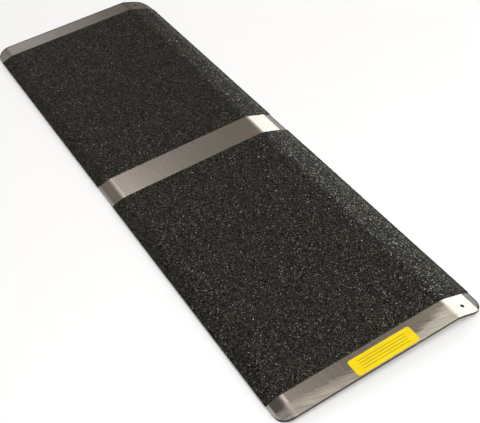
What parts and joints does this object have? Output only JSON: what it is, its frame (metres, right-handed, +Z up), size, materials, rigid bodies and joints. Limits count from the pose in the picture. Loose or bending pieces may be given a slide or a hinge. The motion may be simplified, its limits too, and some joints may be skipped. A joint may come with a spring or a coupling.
{
  "type": "threshold ramp",
  "caption": "Low aluminium threshold ramp: a bent plate with a turned-down toe and lip, black grit panels, a plain label and screw holes in the lip.",
  "frame": {"origin": "on the floor under the middle of the ramp's bounding box", "axes": "+X up the ramp from the toe to the lip, +Y along the doorway, +Z up from the floor that the toe's and the lip's lower edges stand on"},
  "size_m": [0.2656, 0.813, 0.0168],
  "materials": {
    "plate_metal": "mill finish, lightly sanded",
    "panel_glue": "dull, pressure-sensitive adhesive",
    "panel_film": "dull black film",
    "panel_grit": "coarse mineral grit in black resin",
    "label_glue": "pale, pressure-sensitive adhesive",
    "label_film": "semi-gloss yellow vinyl"
  },
  "bodies": {
    "root": {"deck_plate": "plate_metal", "near_panel_adhesive": "panel_glue", "near_panel_film": "panel_film", "near_panel_grit": "panel_grit", "far_panel_adhesive": "panel_glue", "far_panel_film": "panel_film", "far_panel_grit": "panel_grit", "label_adhesive": "label_glue", "label_film": "label_film"}
  },
  "joints": []
}
